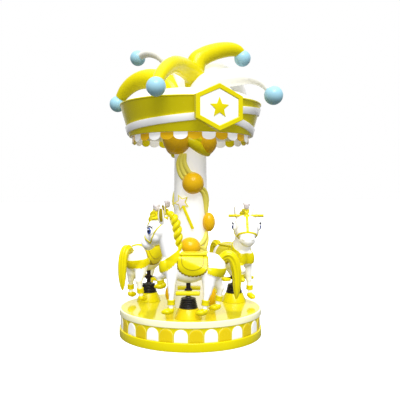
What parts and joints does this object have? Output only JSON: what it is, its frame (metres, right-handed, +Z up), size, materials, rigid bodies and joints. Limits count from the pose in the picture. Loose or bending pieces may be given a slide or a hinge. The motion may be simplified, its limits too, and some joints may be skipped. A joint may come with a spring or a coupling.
{
  "type": "mini carousel",
  "caption": "Small children's carousel: a round base, a turntable with rising horses on posts, a column, and a jester-hat canopy with curled horns.",
  "frame": {"origin": "floor level on the turntable's axis, at the middle of the base pan's underside", "axes": "+Z up along the turntable's axis, -Y towards the side that the sign faces, +X to the right seen from there"},
  "size_m": [1.7029, 1.9286, 3.197],
  "materials": {
    "yellow_gloss": "gloss",
    "orange_gloss": "gloss",
    "pale_yellow_gloss": "gloss",
    "white_gloss": "gloss",
    "blue_gloss": "gloss",
    "black_rubber": "matte",
    "dark_steel": "satin",
    "grey_steel": "satin"
  },
  "bodies": {
    "base": {"base_pan": "grey_steel", "plinth": "yellow_gloss", "arcade_band": "yellow_gloss", "bearing": "grey_steel"},
    "turntable": {"deck": "yellow_gloss", "deck_rim": "white_gloss", "column": "white_gloss", "garland_front": "orange_gloss", "garland_back": "orange_gloss", "wand": "pale_yellow_gloss", "canopy_ceiling": "white_gloss", "canopy_band": "yellow_gloss", "canopy_ribbon": "white_gloss", "valance": "orange_gloss", "sign_frame": "yellow_gloss", "sign_plate": "white_gloss", "crown": "white_gloss", "horn_a": "yellow_gloss", "horn_b": "yellow_gloss", "horn_c": "white_gloss", "horn_d": "yellow_gloss", "horn_e": "white_gloss", "horn_f": "white_gloss", "ball_a": "blue_gloss", "ball_b": "blue_gloss", "ball_c": "blue_gloss", "ball_d": "blue_gloss", "ball_e": "blue_gloss", "ball_f": "blue_gloss", "horse_1_pedestal": "yellow_gloss", "horse_2_pedestal": "yellow_gloss", "horse_3_pedestal": "yellow_gloss"},
    "horse_1": {"horse_1_casting": "white_gloss", "horse_1_saddle": "yellow_gloss", "horse_1_mane": "yellow_gloss", "horse_1_tail": "yellow_gloss", "horse_1_plume": "yellow_gloss", "horse_1_handlebar": "yellow_gloss", "horse_1_footrest": "yellow_gloss", "horse_1_post": "dark_steel", "horse_1_bellows": "black_rubber"},
    "horse_2": {"horse_2_casting": "white_gloss", "horse_2_saddle": "yellow_gloss", "horse_2_mane": "yellow_gloss", "horse_2_tail": "yellow_gloss", "horse_2_plume": "yellow_gloss", "horse_2_handlebar": "yellow_gloss", "horse_2_footrest": "yellow_gloss", "horse_2_post": "dark_steel", "horse_2_bellows": "black_rubber"},
    "horse_3": {"horse_3_casting": "white_gloss", "horse_3_saddle": "yellow_gloss", "horse_3_mane": "yellow_gloss", "horse_3_tail": "yellow_gloss", "horse_3_plume": "yellow_gloss", "horse_3_handlebar": "yellow_gloss", "horse_3_footrest": "yellow_gloss", "horse_3_post": "dark_steel", "horse_3_bellows": "black_rubber"}
  },
  "joints": [
    {"name": "turntable_spin", "type": "hinge", "parent": "base", "child": "turntable", "pos_m": [0, 0, 0.253], "axis": [0, 0, 1], "continuous": true},
    {"name": "horse_1_lift", "type": "slide", "parent": "turntable", "child": "horse_1", "axis": [0, 0, 1], "range_m": [-0.035, 0.045], "deforming": ["horse_1_bellows"]},
    {"name": "horse_2_lift", "type": "slide", "parent": "turntable", "child": "horse_2", "axis": [0, 0, 1], "range_m": [-0.035, 0.045], "deforming": ["horse_2_bellows"]},
    {"name": "horse_3_lift", "type": "slide", "parent": "turntable", "child": "horse_3", "axis": [0, 0, 1], "range_m": [-0.035, 0.045], "deforming": ["horse_3_bellows"]}
  ]
}
